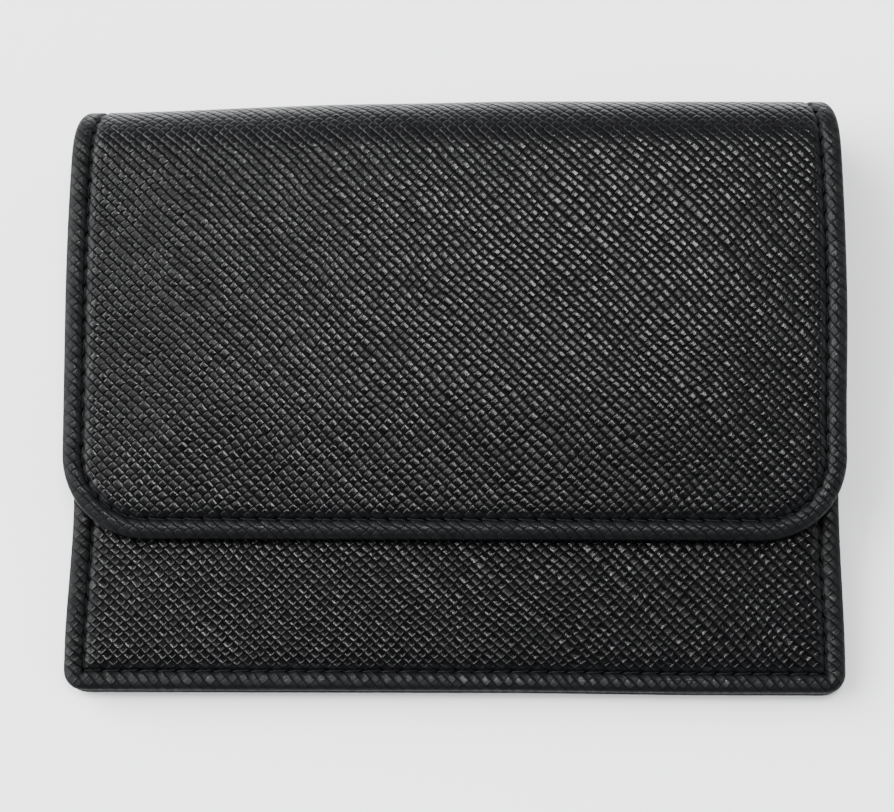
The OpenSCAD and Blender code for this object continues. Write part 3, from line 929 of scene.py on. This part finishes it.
class CARDHOLDER_OT_card_slots(bpy.types.Operator):
    """Make the two card slots on the back wall and sew their sides"""

    bl_idname = "cardholder.card_slots"
    bl_label = "Card slots"

    def execute(self, context):
        for name in ("card_slot_rear", "card_slot_front"):
            low, high = (in_mm(p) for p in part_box(name))
            sheet = Sheet(lambda along, side: high.x, low.y, high.y, SLOT_CORNER, SLOT_CORNER, [])
            sheet.spacing = SLOT_STEP
            sheet.stations = sheet.side_stations([(high.y - SLOT_HEM, SLOT_STEP)])
            profile = (
                (0.5, low.z + 0.05), (0.12, low.z + 0.1), (0.0, high.z - 0.3), (0.08, high.z - 0.1),
                (0.3, high.z - 0.02), (1.4, high.z), (1.6, high.z - 0.1), (1.8, high.z), (4.0, high.z),
            )
            bm = flat_panel(sheet, profile, LINING_STEP)
            draw_sheet_map(bm)
            piece = finish_piece(bm, name + "_leather", "lining")
            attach(piece, "back")
            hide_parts(name, name + "_margin")
        low, high = (in_mm(p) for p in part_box("card_slot_stitching"))
        bm = bmesh.new()
        count = round((high.y - low.y) / sizes().stitch_pitch)
        step = (high.y - low.y) / count
        for x in (low.x + 0.2, high.x - 0.2):
            for k in range(count):
                start = Vector((x, low.y + step * k))
                stitch(bm, start, start + Vector((0, step)), high.z - 0.1)
        draw_sheet_map(bm)
        piece = finish_piece(bm, "card_slot_thread", "thread")
        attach(piece, "back")
        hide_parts("card_slot_stitching")
        return {"FINISHED"}


GUSSET_T = 0.32
# Angle between a gusset's leaf and its panel at rest, and the angle that a leaf subtends at the bottom.
GUSSET_TILT, LEAF_SPREAD = radians(21.89), tan(radians(8))
# Width of a gusset's sewn margin at the mouth.
MOUTH_MARGIN = 1.6
# How far its bend reaches to each side, and the outer and inner ends of its blend.
GUSSET_BEND, BLEND_OUT, BLEND_IN = 0.7, 0.7, 0.6


def gusset_half(side, turn, panel_tilt):
    """One leaf of a gusset with its sewn margin, drawn flat, then bent where they meet and set in place."""
    tab_low, tab_high = (in_mm(p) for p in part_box("gusset_right_back_tab"))
    low = tab_low.y - fold_pivot.y
    high = in_mm(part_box("gusset_right_back_leaf")[1]).y - fold_pivot.y
    tab_out = tab_high.x - GUSSET_X
    bm = bmesh.new()
    bmesh.ops.create_grid(bm, x_segments=16, y_segments=24, size=0.5)
    for vert in bm.verts:
        share = vert.co.y + 0.5
        along = low + (high - low) * share
        inner = along * LEAF_SPREAD
        outer = tab_out - (tab_out - MOUTH_MARGIN) * share
        vert.co = (-outer + (inner + outer) * (vert.co.x + 0.5), along, 0)
    draw_sheet_map(bm)
    bmesh.ops.solidify(bm, geom=bm.faces, thickness=GUSSET_T)
    bmesh.ops.translate(bm, vec=(0, 0, -GUSSET_T / 2), verts=bm.verts)
    for vert in bm.verts:
        inward, along, up = vert.co
        angle = turn * GUSSET_TILT * smooth(-GUSSET_BEND, GUSSET_BEND, inward)
        across = side * (GUSSET_X - (inward * cos(angle) - up * sin(angle)))
        rise = inward * sin(angle) + up * cos(angle)
        upward = along * cos(panel_tilt) - rise * sin(panel_tilt)
        outward = along * sin(panel_tilt) + rise * cos(panel_tilt)
        vert.co = fold_pivot + Vector((across, upward, outward))
    return bm


class CARDHOLDER_OT_gussets(bpy.types.Operator):
    """Make the four halves of the two folded side gussets"""

    bl_idname = "cardholder.gussets"
    bl_label = "Gussets"

    def execute(self, context):
        panels = (("back", "back", 1, 0.0), ("front", "front_panel", -1, REST_ANGLE))
        for side, side_name in ((-1, "left"), (1, "right")):
            for panel, body, turn, tilt in panels:
                name = f"gusset_{side_name}_{panel}"
                piece = finish_piece(gusset_half(side, turn, tilt), name + "_leather", "gusset")
                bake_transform(piece)
                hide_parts(name + "_tab", name + "_leaf")
        return {"FINISHED"}


class CARDHOLDER_OT_snap(bpy.types.Operator):
    """Give the snap's four parts their plated finish"""

    bl_idname = "cardholder.snap"
    bl_label = "Snap"

    def execute(self, context):
        for node in ("snap_stud", "snap_post", "snap_socket", "snap_cap"):
            piece = frame["nodes"][node]
            piece.data.materials.clear()
            piece.data.materials.append(material_for("metal"))
        return {"FINISHED"}


class CARDHOLDER_OT_inner_parts(bpy.types.Operator):
    """Give the boards and fillers inside the panels their finish"""

    bl_idname = "cardholder.inner_parts"
    bl_label = "Boards and fillers"

    def execute(self, context):
        for panel in ("back", "front", "flap"):
            for part, material in (("board", "board"), ("filler", "felt")):
                piece = frame["nodes"][f"{panel}_{part}"]
                piece.data.materials.clear()
                piece.data.materials.append(material_for(material))
        return {"FINISHED"}


# ---------------------------------------------------------------- stage


def area_light(name, place, target, size, power):
    """A soft rectangular light that points at a target. Places and sizes are in metres, power in watts."""
    light = bpy.data.lights.new(name, "AREA")
    light.shape = "RECTANGLE"
    light.size, light.size_y = size
    light.energy = power
    lamp = bpy.data.objects.new(name, light)
    bpy.context.scene.collection.objects.link(lamp)
    lamp.location = place
    lamp.rotation_euler = (Vector(target) - Vector(place)).to_track_quat("-Z", "Y").to_euler()


def studio_world():
    """A pale room: even walls, a bright window side on the left, and a dark patch round the viewer."""
    world = bpy.data.worlds.new("studio")
    world.use_nodes = True
    tree = world.node_tree
    tree.nodes.clear()
    place = add_node(tree, "ShaderNodeTexCoord").outputs["Generated"]
    axes = add_node(tree, "ShaderNodeSeparateXYZ", {0: place})
    inputs = {0: place, 1: (-0.97, 0.25, 0.0)}
    to_window = add_node(tree, "ShaderNodeVectorMath", inputs, operation="DOT_PRODUCT")
    window = mapped(tree, to_window.outputs["Value"], 0.0, 5.0, 0.4, 0.8)
    far_wall = mapped(tree, axes.outputs[0], 0.0, 2.2, 0.45, 0.8)
    inputs = {0: place, 1: (0.0, -0.45, 0.89)}
    from_viewer = add_node(tree, "ShaderNodeVectorMath", inputs, operation="DISTANCE")
    wall = mapped(tree, from_viewer.outputs["Value"], 0.03, 0.9, 0.5, 1.2)
    strength = math(tree, "ADD", wall, math(tree, "ADD", window, far_wall))
    inputs = {"Color": (0.95, 0.97, 1.0, 1), "Strength": strength}
    background = add_node(tree, "ShaderNodeBackground", inputs)
    add_node(tree, "ShaderNodeOutputWorld", {"Surface": background.outputs[0]})
    return world


FLOOR_HALF, FLOOR_DROP = 900, 0.1
# Lights, as (name, place, target, size, power).
LIGHTS = (
    ("key", (-0.85, 0.3, 0.65), (-0.05, 0.02, 0), (1.1, 1.1), 38.0),
    ("overhead", (0.065, 0.10, 0.80), (0.06, 0.07, 0), (0.19, 0.20), 5.6),
    ("ceiling", (-0.24, 0.10, 0.85), (-0.1, 0.05, 0), (0.24, 0.26), 1.5),
)
# The camera: the point it looks at and its distance, in millimetres, its angles, and its lens.
CAMERA_TARGET, CAMERA_DISTANCE = Vector((-1.21, -1.8, 6.0)), 350.0
CAMERA_TILT, CAMERA_SWAY, CAMERA_ROLL = radians(11.94), radians(0.91), radians(-0.77)
SENSOR_WIDTH, FOCAL_LENGTH = 36, 98.8188


def add_camera():
    """The camera, tilted up from straight above, swung a little to one side and rolled."""
    lens = bpy.data.cameras.new("camera")
    lens.sensor_width = SENSOR_WIDTH
    lens.lens = FOCAL_LENGTH
    lens.clip_start, lens.clip_end = 0.01, 10
    camera = bpy.data.objects.new("camera", lens)
    bpy.context.scene.collection.objects.link(camera)
    aside = sin(CAMERA_TILT)
    back = Vector((sin(CAMERA_SWAY) * aside, -cos(CAMERA_SWAY) * aside, cos(CAMERA_TILT)))
    camera.location = (CAMERA_TARGET + back * CAMERA_DISTANCE) * MM
    level = Vector((cos(CAMERA_SWAY), sin(CAMERA_SWAY), 0))
    upright = back.cross(level)
    right = cos(CAMERA_ROLL) * level + sin(CAMERA_ROLL) * upright
    up = cos(CAMERA_ROLL) * upright - sin(CAMERA_ROLL) * level
    camera.rotation_mode = "QUATERNION"
    camera.rotation_quaternion = Matrix((right, up, back)).transposed().to_quaternion()
    bpy.context.scene.camera = camera


class CARDHOLDER_OT_stage(bpy.types.Operator):
    """Set up the floor, the lights and the camera"""

    bl_idname = "cardholder.stage"
    bl_label = "Stage"

    def execute(self, context):
        bm = bmesh.new()
        bmesh.ops.create_grid(bm, x_segments=2, y_segments=2, size=FLOOR_HALF)
        bmesh.ops.translate(bm, vec=(0, 0, -FLOOR_DROP), verts=bm.verts)
        floor = finish_piece(bm, "floor", "floor")
        context.scene.world = studio_world()
        for light in LIGHTS:
            area_light(*light)
        add_camera()
        return {"FINISHED"}


# ---------------------------------------------------------------- add-on

OPERATORS = (
    CARDHOLDER_OT_cover,
    CARDHOLDER_OT_lining,
    CARDHOLDER_OT_front_panel,
    CARDHOLDER_OT_seams,
    CARDHOLDER_OT_card_slots,
    CARDHOLDER_OT_gussets,
    CARDHOLDER_OT_snap,
    CARDHOLDER_OT_inner_parts,
    CARDHOLDER_OT_stage,
)


class CARDHOLDER_PT_panel(bpy.types.Panel):
    """The card holder's sizes, colours and pieces"""

    bl_label = "Card Holder"
    bl_idname = "CARDHOLDER_PT_panel"
    bl_space_type = "VIEW_3D"
    bl_region_type = "UI"
    bl_category = "Card Holder"

    def draw(self, context):
        for group in (context.scene.card_holder_sizes, context.scene.card_holder_colours):
            for name in group.__annotations__:
                self.layout.prop(group, name)
        for operator in OPERATORS:
            self.layout.operator(operator.bl_idname)


CLASSES = (CardHolderSizes, CardHolderColours, *OPERATORS, CARDHOLDER_PT_panel)


def register():
    for each in CLASSES:
        bpy.utils.register_class(each)
    bpy.types.Scene.card_holder_sizes = bpy.props.PointerProperty(type=CardHolderSizes)
    bpy.types.Scene.card_holder_colours = bpy.props.PointerProperty(type=CardHolderColours)


def unregister():
    del bpy.types.Scene.card_holder_sizes
    del bpy.types.Scene.card_holder_colours
    for each in reversed(CLASSES):
        bpy.utils.unregister_class(each)


def main():
    register()
    for operator in OPERATORS:
        category, name = operator.bl_idname.split(".")
        getattr(getattr(bpy.ops, category), name)()


if __name__ == "__main__":
    main()
